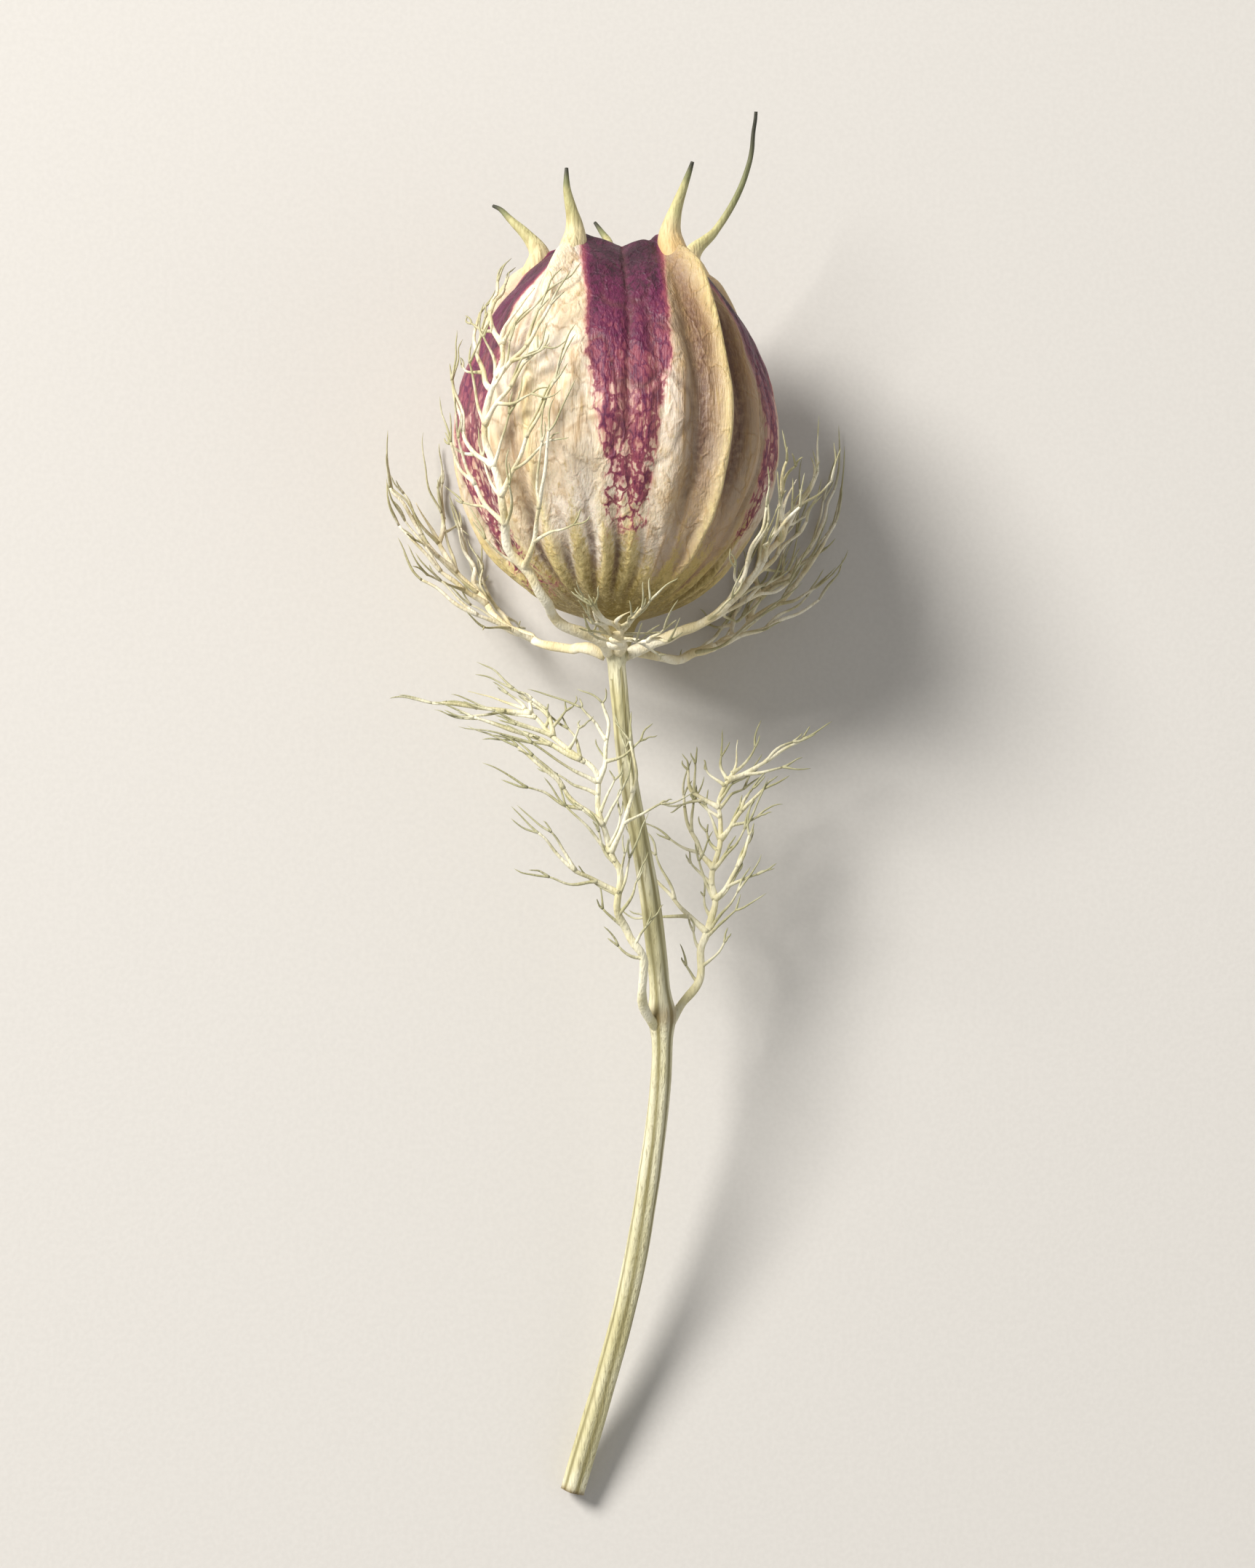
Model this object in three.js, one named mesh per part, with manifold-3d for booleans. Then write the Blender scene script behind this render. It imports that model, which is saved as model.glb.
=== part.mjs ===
// A dried nigella seed pod on its cut stem, lying on its side: a swollen capsule of five grown-together
// carpels, each ending in a horn, in a ruff of five finely cut bracts, with two thread-fine leaves on the
// stem below it. Millimetres, +Z up. The horns point along +Y and the stem along -Y. The origin is the flat
// spot that the capsule rests on.

import * as THREE from "three";
import { mergeVertices } from "three/addons/utils/BufferGeometryUtils.js";
import Module from "manifold-3d";

const wasm = await Module();
wasm.setup();

// Capsule
const CARPELS = 5;
const CAPSULE_LENGTH = 27.2; // from the base to the rim between the horns
const CAPSULE_RADIUS = 11.85; // at the widest ring, beside a midrib
const WIDEST_AT = 13.4; // from the base, along the axis
const UPPER_REACH = 15.6; // from the widest ring to where the shoulders would close
const SWELL_POWER = 1.8; // roundness of the outline
const LOWER_FULLNESS = 0.55;
const UPPER_FULLNESS = 0.6;
const GROOVE_DEPTH = 0.055; // of the radius, between two carpels
const MIDRIB_RISE = 0.3; // height of the raised line down each carpel
const MIDRIB_HALF_WIDTH = 3.4; // degrees
const CROWN_DEPTH = 2.6; // the hollow between the horns
const CROWN_POLAR = 24; // degrees of the sphere that the crown takes
const GROOVE_POWER = 2.5; // how narrow a groove is
const FLATTENED = 0.4; // how far the lowest midrib is pressed flat
const AXIS_HEIGHT = CAPSULE_RADIUS + MIDRIB_RISE - FLATTENED;
const CAPSULE_FACETS = { around: 60, rings: 34 };

// Horns
const HORN_ROOT = [[7.3, 22.2], [6.5, 25.0], [5.8, 27.4]]; // [radius, along] up a carpel's shoulder
const HORN_ROOT_LENGTH = 5.4;
const HORN_ROOT_RADIUS = 1.25;
const BEAK_TIP_RADIUS = 0.42;
const HORN_FACETS = { sides: 6, steps: 11 };

// Ruff of bracts: threads lie on an egg-shaped cage round the capsule
const CAGE_RADIUS = 13.8;
const CAGE_DEPTH = 15.4; // from the widest ring to the cage's lowest point, below the capsule's base
const CAGE_ARC = 14.6; // millimetres along the cage for each radian
const SECTOR = 33; // degrees to each side that one bract may fill
const BRACT_ROOT = 9; // degrees from the cage's lowest point
const BRACT_RADIUS = 0.46;
const LEAF_RADIUS = 0.38;
const THREAD_RADIUS = 0.3;
const CLEARANCE = 0.35; // kept between two pieces

// How a frond is cut. Shares are of the frond's or the lobe's length, angles are degrees.
const MIDRIB_STEPS = 8;
const MIDRIB_LIFT = 0.4; // of the threads' rise
const ZIGZAG = 0.35; // how far a midrib swings to each side, in mm
const FIRST_LOBE = 0.3;
const LOBED_SHARE = 0.62;
const LOBE_STAGGER = 0.6; // of the distance between lobes
const LOWEST_LOBE = 1.15; // of the frond's reach
const LOBE_SHORTENING = 0.6;
const LOBE_LENGTH_SPREAD = 0.4;
const LOBE_STEPS = 4;
const FORK_STEPS = 2;
const LOBE_ANGLE = 36;
const LOBE_ANGLE_SPREAD = 22;
const LOBE_TURN = 22;
const FORK_ANGLE = 28;
const FORK_ANGLE_SPREAD = 20;
const FORK_TURN = 18;
const FORK_LENGTH = 0.34;
const FORK_LENGTH_SPREAD = 0.18;

// Stem
const RECEPTACLE_RADIUS = 1.5; // the swollen stem top under the capsule
const RECEPTACLE_LENGTH = 3.5;
const STEM_TOP_RADIUS = 0.6;
const STEM_END_RADIUS = 0.85;
const STEM_RIBS = 5;
const RIB_DEPTH = 0.06; // of the radius
const NODE_AT = 0.42; // share of the stem where the leaves grow
const NODE_SWELL = 0.3;
const NODE_LENGTH = 0.02; // share of the stem
const CUT_AT = 75; // how far the cut end lies from the rest spot, along -Y
const STEM_FACETS = { sides: 10, steps: 34 };
const RECEPTACLE_FACETS = { sides: 10, steps: 5 };
const RECEPTACLE_FLARE = 1.6; // how soon the receptacle reaches its full width

const radians = THREE.MathUtils.degToRad;
const lerp = THREE.MathUtils.lerp;

// Repeatable random numbers from 0 to 1.
function randomFrom(seed) {
  let state = seed;
  return () => {
    state = (state * 16807) % 2147483647;
    return state / 2147483647;
  };
}

// The point at a place round and along the capsule's axis. Azimuth 90 is straight up, 0 is +X.
function onAxis(azimuth, radius, along) {
  const turn = radians(azimuth);
  return new THREE.Vector3(
    radius * Math.cos(turn),
    along - WIDEST_AT,
    AXIS_HEIGHT + radius * Math.sin(turn),
  );
}

// The capsule's radius, without its grooves and midribs.
function bodyRadius(along) {
  const upper = along > WIDEST_AT;
  const share = upper ? (along - WIDEST_AT) / UPPER_REACH : 1 - along / WIDEST_AT;
  const fullness = upper ? UPPER_FULLNESS : LOWER_FULLNESS;
  return CAPSULE_RADIUS * Math.max(0, 1 - share ** SWELL_POWER) ** fullness;
}

// Degrees from the nearest midrib. One midrib points straight down.
function fromMidrib(azimuth) {
  const sector = 360 / CARPELS;
  const offset = (((azimuth + 90) % sector) + sector) % sector;
  return offset > sector / 2 ? offset - sector : offset;
}

// A closed geometry's shared vertices merged, as a solid.
function solidFrom(geometry) {
  geometry.deleteAttribute("normal");
  geometry.deleteAttribute("uv");
  const merged = mergeVertices(geometry, 1e-4);
  return new wasm.Manifold(
    new wasm.Mesh({
      numProp: 3,
      vertProperties: merged.attributes.position.array,
      triVerts: new Uint32Array(merged.index.array),
    }),
  );
}

function geometryFrom(solid) {
  const mesh = solid.getMesh();
  return new THREE.BufferGeometry()
    .setAttribute("position", new THREE.BufferAttribute(mesh.vertProperties, 3))
    .setIndex(new THREE.BufferAttribute(mesh.triVerts, 1));
}

function joined(geometries) {
  return geometries.map(solidFrom).reduce((whole, piece) => whole.add(piece));
}

// A closed cylinder bent along a smooth curve through the points. radiusAt(t, turn) is its radius at a share
// of the length and an angle round it.
function bentRod(points, radiusAt, { sides, steps }) {
  const curve = new THREE.CatmullRomCurve3(points, false, "centripetal");
  const frames = curve.computeFrenetFrames(steps);
  const geometry = new THREE.CylinderGeometry(1, 1, 1, sides, steps);
  const position = geometry.attributes.position;
  for (let i = 0; i < position.count; i++) {
    const t = position.getY(i) + 0.5;
    const step = Math.round(t * steps);
    const x = position.getX(i);
    const z = position.getZ(i);
    const radius = radiusAt(t, Math.atan2(z, x));
    const place = curve
      .getPointAt(step / steps)
      .addScaledVector(frames.normals[step], x * radius)
      .addScaledVector(frames.binormals[step], -z * radius);
    position.setXYZ(i, place.x, place.y, place.z);
  }
  return geometry;
}

// The capsule's body: a sphere drawn out to the pod's outline, with a groove between carpels, a raised midrib
// down each, and a hollow crown.
function capsuleBody() {
  const geometry = new THREE.SphereGeometry(1, CAPSULE_FACETS.around, CAPSULE_FACETS.rings);
  const position = geometry.attributes.position;
  const crown = radians(CROWN_POLAR);
  for (let i = 0; i < position.count; i++) {
    const polar = Math.acos(THREE.MathUtils.clamp(position.getY(i), -1, 1));
    const azimuth = THREE.MathUtils.radToDeg(Math.atan2(position.getZ(i), position.getX(i)));
    const offset = fromMidrib(azimuth);
    const midrib = Math.exp(-((offset / MIDRIB_HALF_WIDTH) ** 2));
    let along;
    let radius;
    if (polar < crown) {
      const share = polar / crown;
      radius = bodyRadius(CAPSULE_LENGTH) * share;
      along = CAPSULE_LENGTH - CROWN_DEPTH * (1 - share ** 2);
    } else {
      const share = (polar - crown) / (Math.PI - crown);
      along = CAPSULE_LENGTH * (0.5 + 0.5 * Math.cos(Math.PI * share));
      const ends = Math.sin(Math.PI * share);
      const groove = GROOVE_DEPTH * Math.abs(offset / (180 / CARPELS)) ** GROOVE_POWER;
      radius = bodyRadius(along) * (1 - groove) + MIDRIB_RISE * midrib * ends;
    }
    const place = onAxis(azimuth, radius, along);
    position.setXYZ(i, place.x, place.y, place.z);
  }
  return geometry;
}

// A carpel's horn: a stout beak rising from its shoulder, drawn out into the dried style. Lean and curl are
// in degrees, drift is how far the style swings round the axis.
function horn({ azimuth, beak, style, lean, curl, drift }) {
  const points = HORN_ROOT.map(([radius, along]) => onAxis(azimuth, radius, along));
  const [radius, along] = HORN_ROOT.at(-1);
  const tip = { radius, along, azimuth, lean: radians(lean) };
  const advance = (length, bend, swing) => {
    tip.lean += radians(bend);
    tip.azimuth += swing;
    tip.radius += length * Math.sin(tip.lean);
    tip.along += length * Math.cos(tip.lean);
    points.push(onAxis(tip.azimuth, tip.radius, tip.along));
  };
  advance(beak, 0, 0);
  for (let i = 0; i < 3; i++) advance(style / 3, curl, drift);
  const beakShare = (HORN_ROOT_LENGTH + beak) / (HORN_ROOT_LENGTH + beak + style);
  const radiusAt = (t) => {
    if (t < beakShare) return lerp(HORN_ROOT_RADIUS, BEAK_TIP_RADIUS, t / beakShare);
    return lerp(BEAK_TIP_RADIUS, THREAD_RADIUS, (t - beakShare) / (1 - beakShare));
  };
  return bentRod(points, radiusAt, HORN_FACETS);
}

const HORNS = [
  { azimuth: 54, beak: 3.6, style: 1.8, lean: 26, curl: 2, drift: 0 },
  { azimuth: 126, beak: 3.0, style: 1.5, lean: 20, curl: -6, drift: 0 },
  { azimuth: 198, beak: 3.2, style: 2.4, lean: 38, curl: 4, drift: 2 },
  { azimuth: 270, beak: 3.2, style: 2.2, lean: 34, curl: 3, drift: -2 },
  { azimuth: 342, beak: 3.0, style: 9.0, lean: 42, curl: -13, drift: 5 },
];

// The capsule with its horns, cut level where it rests on the ground.
function capsule() {
  const ground = new THREE.BoxGeometry(60, 60, 20).translate(0, 0, -10);
  return joined([capsuleBody(), ...HORNS.map(horn)]).subtract(solidFrom(ground));
}

// A thread's course in the plane of its frond, as [along, across, lift] points: it leaves at a heading in
// degrees, turns as it goes, and rises off the plane towards its tip.
function arc([along, across, lift], heading, turn, length, rise, steps) {
  const points = [[along, across, lift]];
  for (let i = 0; i < steps; i++) {
    const bearing = radians(heading + (turn * (i + 0.5)) / steps);
    along += (length / steps) * Math.cos(bearing);
    across += (length / steps) * Math.sin(bearing);
    points.push([along, across, lift + rise * ((i + 1) / steps) ** 2]);
  }
  return points;
}

// The threads of a finely cut frond: a midrib, lobes that leave it on alternate sides, and their forks.
function frondThreads({ length, lobes, reach, rise, sway, seed }) {
  const random = randomFrom(seed);
  const onMidrib = (t) => {
    const zigzag = ZIGZAG * (1 - 2 * Math.abs(((MIDRIB_STEPS * t) % 2) - 1));
    return [length * t, sway * Math.sin(Math.PI * t) + zigzag, rise * MIDRIB_LIFT * t ** 2];
  };
  const midrib = Array.from({ length: MIDRIB_STEPS + 1 }, (_, i) => onMidrib(i / MIDRIB_STEPS));
  const threads = [{ points: midrib, stout: true }];
  for (let i = 0; i < lobes; i++) {
    const side = i % 2 ? 1 : -1;
    const t = FIRST_LOBE + (LOBED_SHARE * (i + LOBE_STAGGER * random())) / lobes;
    const vigour = 1 + LOBE_LENGTH_SPREAD * (random() - 0.5);
    const long = reach * (LOWEST_LOBE - LOBE_SHORTENING * t) * vigour;
    const heading = side * (LOBE_ANGLE + LOBE_ANGLE_SPREAD * random());
    const lobe = arc(onMidrib(t), heading, -side * LOBE_TURN, long, rise * random(), LOBE_STEPS);
    threads.push({ points: lobe, stout: false });
    for (let j = 1; j <= 2; j++) {
      const forkSide = j % 2 ? side : -side;
      const forkHeading = heading + forkSide * (FORK_ANGLE + FORK_ANGLE_SPREAD * random());
      const forkLength = long * (FORK_LENGTH + FORK_LENGTH_SPREAD * random());
      const forkTurn = -forkSide * FORK_TURN;
      const fork = arc(lobe[j], forkHeading, forkTurn, forkLength, (rise / 2) * random(), FORK_STEPS);
      threads.push({ points: fork, stout: false });
    }
  }
  return threads;
}

// Keeps a thread on the ground and out of the capsule.
function keptClear(place, radius) {
  place.z = Math.max(place.z, radius);
  const along = place.y + WIDEST_AT;
  if (along > 0 && along < CAPSULE_LENGTH) {
    const needed = bodyRadius(along) + MIDRIB_RISE + radius + CLEARANCE;
    const drop = place.z - AXIS_HEIGHT;
    if (Math.hypot(place.x, drop) < needed)
      place.x = Math.sign(place.x) * Math.sqrt(needed ** 2 - Math.min(drop ** 2, needed ** 2));
  }
  return place;
}

// A frond's threads as one solid, each point of them put in its place by placed(point, radius).
function frondSolid(frond, stoutRadius, placed) {
  const rods = frondThreads(frond).map(({ points, stout }) => {
    const radius = stout ? stoutRadius : THREAD_RADIUS;
    const course = points.map((point) => placed(point, radius));
    const facets = { sides: stout ? 5 : 4, steps: points.length - 1 };
    return bentRod(course, (t) => lerp(radius, THREAD_RADIUS, t), facets);
  });
  return joined(rods);
}

// One bract: its frond is laid on the cage round the capsule, and opens outwards by a share of its length.
function bract({ azimuth, open, ...frond }) {
  const limit = radians(SECTOR);
  return frondSolid(frond, BRACT_RADIUS, ([along, across, lift], radius) => {
    const polar = radians(BRACT_ROOT) + along / CAGE_ARC;
    const off = open * along + lift;
    const out = CAGE_RADIUS * Math.sin(polar) + off * Math.max(Math.sin(polar), 0.5);
    const up = WIDEST_AT - (CAGE_DEPTH + off) * Math.cos(polar);
    const swing = limit * Math.tanh(across / (out * limit));
    return keptClear(onAxis(azimuth + THREE.MathUtils.radToDeg(swing), out, up), radius);
  });
}

const FRONT = { azimuth: 92, open: 0.5, length: 8.5, lobes: 4, reach: 6, rise: 1.2, sway: 0.4, seed: 41 };
const LEFT = { azimuth: 130, open: -0.04, length: 30, lobes: 8, reach: 10, rise: 1.4, sway: 1.8, seed: 52 };
const RIGHT = { azimuth: 24, open: -0.05, length: 17, lobes: 6, reach: 9, rise: 2.4, sway: -1.5, seed: 63 };
const LOW_LEFT = { azimuth: 212, open: 0.12, length: 18, lobes: 6, reach: 9, rise: 1.6, sway: 1.5, seed: 74 };
const LOW_RIGHT = { azimuth: 316, open: 0.3, length: 17, lobes: 6, reach: 10, rise: 2, sway: 1, seed: 85 };
const BRACTS = {
  bract_front: FRONT,
  bract_left: LEFT,
  bract_right: RIGHT,
  bract_low_left: LOW_LEFT,
  bract_low_right: LOW_RIGHT,
};

// The stem's line, from under the capsule to the cut end on the ground.
const STEM_ROUTE = [
  [0, -16.2, AXIS_HEIGHT],
  [0.8, -24, 11.5],
  [2.6, -34, 10.4],
  [3.5, -43.5, 8.7],
  [2.9, -52, 6.5],
  [1.3, -62, 3.8],
  [-2.2, -CUT_AT, STEM_END_RADIUS * (1 + RIB_DEPTH)],
].map((point) => new THREE.Vector3(...point));

// The stem's radius: it grows towards the cut end, is ribbed, and swells at its node.
function stemRadius(t, turn) {
  const swell = NODE_SWELL * Math.exp(-(((t - NODE_AT) / NODE_LENGTH) ** 2));
  const ribs = 1 + RIB_DEPTH * Math.cos(STEM_RIBS * turn);
  return lerp(STEM_TOP_RADIUS, STEM_END_RADIUS, t) * ribs + swell;
}

// The stem with the receptacle at its top, which the capsule and the bracts grow from.
function stem() {
  const ends = [-CLEARANCE - RECEPTACLE_LENGTH, -CLEARANCE].map((along) => onAxis(0, 0, along));
  const flare = (t) => lerp(STEM_TOP_RADIUS, RECEPTACLE_RADIUS, Math.min(1, RECEPTACLE_FLARE * t) ** 2);
  return joined([bentRod(STEM_ROUTE, stemRadius, STEM_FACETS), bentRod(ends, flare, RECEPTACLE_FACETS)]);
}

// One leaf: a frond whose midrib follows its own route up beside the stem.
function leaf({ route, sideways, upwards, ...frond }) {
  const points = route.map((point) => new THREE.Vector3(...point));
  const curve = new THREE.CatmullRomCurve3(points, false, "centripetal");
  const side = new THREE.Vector3(...sideways).normalize();
  const up = new THREE.Vector3(...upwards).normalize();
  return frondSolid(frond, LEAF_RADIUS, ([along, across, lift], radius) => {
    const t = THREE.MathUtils.clamp(along / frond.length, 0, 1);
    const place = curve.getPointAt(t).addScaledVector(curve.getTangentAt(t), along - t * frond.length);
    place.addScaledVector(side, across).addScaledVector(up, lift);
    place.z = Math.max(place.z, radius);
    return place;
  });
}

const LEAVES = {
  leaf_left: {
    route: [
      [2.4, -40.8, 10.8],
      [0.9, -36, 12.9],
      [-0.6, -30, 13.9],
      [-2.2, -24.5, 13.6],
      [-6.0, -20.4, 12.4],
      [-10.2, -18.6, 11.0],
    ],
    sideways: [1, 0.2, 0],
    upwards: [0, 0, 1],
    length: 27,
    lobes: 7,
    reach: 8,
    rise: 1.2,
    sway: 0,
    seed: 17,
  },
  leaf_right: {
    route: [
      [4.9, -41, 8.4],
      [6.6, -37, 8.2],
      [7.4, -31, 8.0],
      [7.8, -25.5, 7.6],
      [9.4, -21.0, 7.0],
    ],
    sideways: [0.95, 0, 0.3],
    upwards: [0.4, 0, -0.6],
    length: 21,
    lobes: 6,
    reach: 7,
    rise: 1.0,
    sway: 0,
    seed: 29,
  },
};

const CREAM = new THREE.MeshStandardMaterial({ color: 0xe4d2a4, roughness: 0.55 });
const STRAW = new THREE.MeshStandardMaterial({ color: 0xb9b57e, roughness: 0.7 });
const PALE_THREAD = new THREE.MeshStandardMaterial({ color: 0xd9cfa6, roughness: 0.75 });

function named(name, solid, material) {
  const mesh = new THREE.Mesh(geometryFrom(solid), material);
  mesh.name = name;
  return mesh;
}

const pod = new THREE.Group();
pod.add(named("capsule", capsule(), CREAM));
pod.add(named("stem", stem(), STRAW));
for (const [name, frond] of Object.entries(BRACTS)) pod.add(named(name, bract(frond), PALE_THREAD));
for (const [name, frond] of Object.entries(LEAVES)) pod.add(named(name, leaf(frond), PALE_THREAD));

export default pod;
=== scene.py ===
"""A dried nigella seed pod on its short cut stem, lying on a pale floor and seen from above.

Sizes are millimetres in the row's frame: +Y runs from the stem to the horns, +Z is up.
"""

import itertools
import math
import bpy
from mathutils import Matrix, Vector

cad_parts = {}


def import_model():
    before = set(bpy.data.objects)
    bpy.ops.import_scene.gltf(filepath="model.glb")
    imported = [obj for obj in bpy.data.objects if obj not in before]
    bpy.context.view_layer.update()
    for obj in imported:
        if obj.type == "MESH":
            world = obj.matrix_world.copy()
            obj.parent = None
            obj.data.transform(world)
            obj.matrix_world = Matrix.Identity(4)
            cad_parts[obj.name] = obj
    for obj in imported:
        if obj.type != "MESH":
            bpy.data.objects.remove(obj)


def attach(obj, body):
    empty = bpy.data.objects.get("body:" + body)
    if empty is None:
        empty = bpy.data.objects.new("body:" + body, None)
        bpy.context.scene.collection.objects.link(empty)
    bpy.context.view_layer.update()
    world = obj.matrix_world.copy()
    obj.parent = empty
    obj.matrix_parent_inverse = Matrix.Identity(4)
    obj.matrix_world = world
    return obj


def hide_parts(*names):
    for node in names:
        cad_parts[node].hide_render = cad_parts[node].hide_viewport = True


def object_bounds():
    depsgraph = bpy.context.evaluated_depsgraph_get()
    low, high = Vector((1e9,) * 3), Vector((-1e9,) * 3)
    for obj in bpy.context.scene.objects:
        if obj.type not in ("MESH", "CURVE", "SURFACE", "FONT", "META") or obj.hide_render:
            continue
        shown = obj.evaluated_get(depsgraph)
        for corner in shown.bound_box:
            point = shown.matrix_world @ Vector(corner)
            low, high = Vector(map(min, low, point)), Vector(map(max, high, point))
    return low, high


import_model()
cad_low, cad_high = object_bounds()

from types import SimpleNamespace

import bmesh
import bpy
import numpy as np
from mathutils import Matrix, Vector

MM = 0.001

# Random numbers
LATTICE_SEED = 11
LATTICE_SIZE = 32
LATTICE_MIDDLE = 500
RANDOM_FACTOR = 16807
RANDOM_PRIME = 2147483647

# Capsule
CARPELS = 5
CAPSULE_LENGTH = 27.2
CAPSULE_RADIUS = 11.85
WIDEST_AT = 13.4
UPPER_REACH = 15.6
SWELL_POWER = 1.8
LOWER_FULLNESS = 0.55
UPPER_FULLNESS = 0.6
GROOVE_DEPTH = 0.055
GROOVE_POWER = 2.5
MIDRIB_RISE = 0.3
CROWN_DEPTH = 2.6
AXIS_HEIGHT = 11.75
HALF_SECTOR = 180 / CARPELS
CAPSULE_AROUND = 380
CAPSULE_ROWS = 240
CROWN_POINTS = 200
BODY_POINTS = 800
PROFILE_POINTS = 1200
RIM_SOFTNESS = 0.45
RIM_SOFTENING_POINTS = 40
CROWN_BLEND_ROWS = 7

# Where the capsule's body and its shoulder begin and are full, above the base
BODY = (0.5, 5)
SHOULDER = (19, 27)
# A ring round the axis, for what varies with the azimuth alone
CAPSULE_RING = 9
# How far up the olive of the base reaches, and how much further in places, in the sutures and on the pleats
OLIVE_TOP = 6.6
OLIVE_TOP_SPREAD = 3.6
OLIVE_IN_SUTURES = 2.0
OLIVE_ON_PLEATS = 1.2

# Relief of the capsule's skin. Widths across a midrib or a suture are degrees.
MIDRIB_SWAY = 1.5
MIDRIB_WIDTH = 2.2
MIDRIB_TOP_WIDENING = 2.8
MIDRIB_TOP_FADE = 0.75
SHOULDER_RISE = 0.3
SHOULDER_RISE_WIDTH = 14
HORN_RIDGE_RISE = 0.62
HORN_RIDGE_WIDTH_MM = 1.05
HORN_RIDGE_FOOT = 20
HORN_RIDGE_TOP = 24.8
HORN_RIDGE_END = 27.1
HOLLOW_AT = 9.5
SUTURE_DEPTH = 0.1
SUTURE_WIDTH = 1.6
SUTURE_SHOULDER_DEPTH = 0.22
SUTURE_SHOULDER_WIDTH = 9
RIM_WAVE = 0.15
VEIN_RISE = 0.06
VEIN_WIDTH = 0.8
VEIN_WANDER = 2.4
SIDE_VEINS = (10.5, 17.5, 25.0)
ARCH_SPACING = 3.1
ARCH_SLANT = 26
PLEATS = 25
PLEAT_RISE = 0.22
PLEAT_TOP = 10.5
PLEAT_TOP_SPREAD = 5
SIDE_RIB_RISE = 0.16
SIDE_RIB_TURNS = 22
CREASE_DEPTH = 0.1
SWELL_RISE = 0.15
FLUTE_RISE = 0.1
WRINKLE_RISE = 0.06
WISP_RISE = 0.05
STAR_DEPTH = 0.55
STAR_WIDTH = 10
STAR_RIDGE_RISE = 0.12

# Each stripe's azimuth, strength, how far above the base it dies away, and its width as a share of the usual
STRIPES = [(90, 1.0, 5.5, 1), (162, 0.95, 2.5, 1.35), (234, 0.9, 7, 1), (306, 0.8, 8, 1), (18, 1.1, 6, 1)]
# Places above the base, and half the usual width there
STRIPE_HALF_WIDTH = [(4, 1.6), (8, 1.9), (13, 2.6), (17, 3.2), (22, 3.0), (27.2, 3.0)]
# Each midrib's azimuth, its height, the hollow to its left and to its right (with painted shade as strong as
# the hollow), and how tan the carpel is: partly its own tone, partly painted shade on the carpels turned
# away from the key light
MIDRIBS = [
    (54, 0.75, 0.55, 0.75, 0.85), (126, 0.35, 0.4, 0.12, 0.0), (198, 0.5, 0.3, 0.4, 0.25),
    (270, 0.4, 0.3, 0.3, 0.3), (342, 0.6, 0.4, 0.4, 0.7),
]

# Horns, in the order of the midribs that they stand on, with their roots as radii and places above the base
HORN_ROOT = [(7.3, 22.2), (6.5, 25.0), (5.8, 27.4)]
HORN_ROOT_LENGTH = 5.4
HORNS = [
    dict(azimuth=54, beak=3.6, style=1.8, lean=26, curl=2, drift=0),
    dict(azimuth=126, beak=3.0, style=1.5, lean=20, curl=-6, drift=0),
    dict(azimuth=198, beak=3.2, style=2.4, lean=38, curl=4, drift=2),
    dict(azimuth=270, beak=3.2, style=2.2, lean=34, curl=3, drift=-2),
    dict(azimuth=342, beak=3.0, style=9.0, lean=42, curl=-13, drift=5),
]
# Shares of the way to the beak's end, and the radius there
HORN_RADII = [(0, 0.6), (0.3, 0.9), (0.42, 1.05), (0.55, 0.92), (0.68, 0.64), (0.8, 0.45), (1.0, 0.28)]
STYLE_TAPER = 0.55
HORN_SHAKE = 0.12
HORN_SHAKE_SIZE = 1.3
HORN_RINGS = 90
HORN_SIDES = 24

# Ruff of bracts
CAGE_RADIUS = 13.8
CAGE_DEPTH = 15.4
CAGE_ARC = 14.6
BRACT_SWING = 33
BRACT_ROOT_ANGLE = 9
BRACT_FOOT = (0.9, -2.3)
BRACT_RADIUS = 0.46
CLEARANCE = 0.35
BRACTS = {
    "bract_front": dict(azimuth=92, open=0.5, length=8.5, lobes=4, reach=6, rise=1.2, sway=0.4, seed=41),
    "bract_left": dict(azimuth=130, open=-0.04, length=30, lobes=8, reach=10, rise=1.4, sway=1.8, seed=52),
    "bract_right": dict(azimuth=24, open=-0.05, length=17, lobes=6, reach=9, rise=2.4, sway=-1.5, seed=63),
    "bract_low_left": dict(azimuth=212, open=0.12, length=18, lobes=6, reach=9, rise=1.6, sway=1.5, seed=74),
    "bract_low_right": dict(azimuth=316, open=0.3, length=17, lobes=6, reach=10, rise=2.0, sway=1, seed=85),
}

# Leaves
LEAF_RADIUS = 0.38
LEAF_FOOT = 2.2
LEAF_POINTS = 200
LEAVES = {
    "leaf_left": dict(
        route=[
            (2.4, -40.8, 10.8), (0.9, -36, 12.9), (-0.6, -30, 13.9),
            (-2.2, -24.5, 13.6), (-6, -20.4, 12.4), (-10.2, -18.6, 11),
        ],
        sideways=(1, 0.2, 0), upwards=(0, 0, 1),
        length=27, lobes=7, reach=8, rise=1.2, sway=0, seed=17, barbs=18,
    ),
    "leaf_right": dict(
        route=[(4.9, -41, 8.4), (6.6, -37, 8.2), (7.4, -31, 8), (7.8, -25.5, 7.6), (9.4, -21, 7)],
        sideways=(0.95, 0, 0.3), upwards=(0.4, 0, -0.6),
        length=21, lobes=6, reach=7, rise=1, sway=0, seed=29, barbs=14,
    ),
}

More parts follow.
